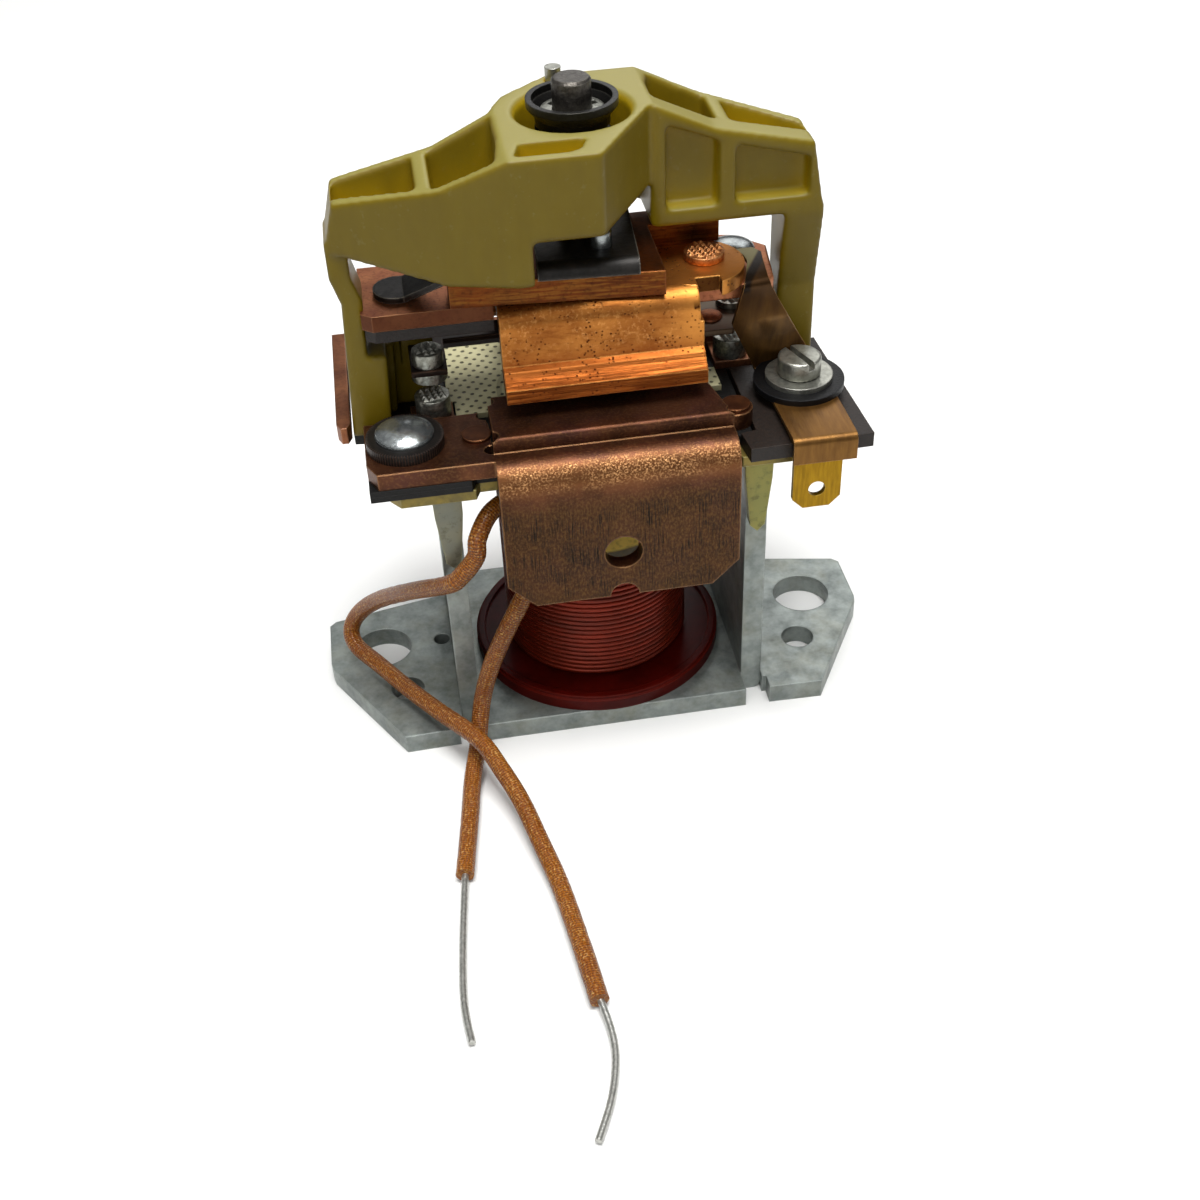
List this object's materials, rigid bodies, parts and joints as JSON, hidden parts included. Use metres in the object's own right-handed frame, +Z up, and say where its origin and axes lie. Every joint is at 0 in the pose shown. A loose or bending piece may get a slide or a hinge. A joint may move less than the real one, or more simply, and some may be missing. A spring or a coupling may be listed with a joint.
{
  "type": "electrical relay",
  "caption": "Open-frame power relay: steel yoke and coil, copper terminals and a sliding contact bridge under a moulded arch, with two sleeved leads.",
  "frame": {"origin": "axis of the coil and armature pin, at the underside of the base", "axes": "+Z up along the armature pin, +X towards the auxiliary terminal, -Y towards the front terminal tab and the leads"},
  "size_m": [0.0798, 0.1042, 0.0874],
  "materials": {
    "zinc_steel": "zinc plated, dull",
    "core_steel": "turned soft iron",
    "bobbin_red": "moulded, dull",
    "drum": "wound layers under the outer one",
    "coil_wire": "enamelled copper wire",
    "chromate": "yellow passivated zinc",
    "black_sheet": "pressed insulating sheet",
    "phenolic": "brown laminate",
    "dark_copper": "oxidised copper",
    "bright_copper": "pitted bright copper",
    "salmon_copper": "dull light copper",
    "red_copper": "reddish oxidised copper",
    "dome_zinc": "zinc plated, soft sheen",
    "serrated": "blackened",
    "cream": "grooved sheet",
    "silver": "knurled contact face",
    "brass_blade": "satin",
    "bronze": "spring bronze",
    "fibre": "pressed fibre",
    "bright_steel": "bright",
    "olive_moulding": "moulded, slight sheen",
    "sleeve": "varnished braid",
    "tinned": "tinned wire",
    "pin_steel": "oiled",
    "black_cup": "blackened",
    "clip_steel": "bright",
    "spring_steel": "blued",
    "brown_insulation": "laminate",
    "dark_steel": "blackened"
  },
  "bodies": {
    "frame": {"yoke": "zinc_steel", "ear_left": "zinc_steel", "ear_right": "zinc_steel", "core": "core_steel", "bobbin": "bobbin_red", "winding_core": "drum", "winding": "coil_wire", "top_plate": "chromate", "lower_sheet": "black_sheet", "upper_sheet": "black_sheet", "phenolic_plate": "phenolic", "front_terminal": "dark_copper", "rear_terminal": "dark_copper", "dome_rivets": "dome_zinc", "rivet_washers": "serrated", "flush_rivets": "dark_copper", "cream_sheet": "cream", "fixed_contacts": "silver", "blade_terminal": "brass_blade", "auxiliary_spring": "bronze", "fibre_washer": "fibre", "screw_washer": "bright_steel", "terminal_screw": "bright_steel", "terminal_nut": "zinc_steel", "arch": "olive_moulding", "hub_dowel": "bright_steel", "long_lead": "sleeve", "short_lead": "sleeve", "long_wire_end": "tinned", "short_wire_end": "tinned", "return_spring": "spring_steel"},
    "armature": {"pin": "pin_steel", "plunger": "core_steel", "cup": "black_cup", "clip": "clip_steel"},
    "contact_bridge": {"contact_blade": "bright_copper", "bridge_bar": "red_copper", "left_arm": "salmon_copper", "arm_insulation": "brown_insulation", "right_arm": "salmon_copper", "contact_leaf": "dark_copper", "moving_contacts": "silver", "bridge_spacer": "brown_insulation", "pressure_leaf": "dark_steel", "clamp_plate": "dark_steel", "clamp_stud": "dome_zinc"}
  },
  "joints": [
    {"name": "armature_slide", "type": "slide", "parent": "frame", "child": "armature", "axis": [0, 0, -1], "range_m": [0, 0.002], "stiffness_N_per_m": 800, "springref_m": -0.004, "deforming": ["return_spring"]},
    {"name": "bridge_float", "type": "slide", "parent": "armature", "child": "contact_bridge", "axis": [0, 0, 1], "range_m": [0, 0.0006], "stiffness_N_per_m": 2500, "springref_m": -0.0012}
  ]
}
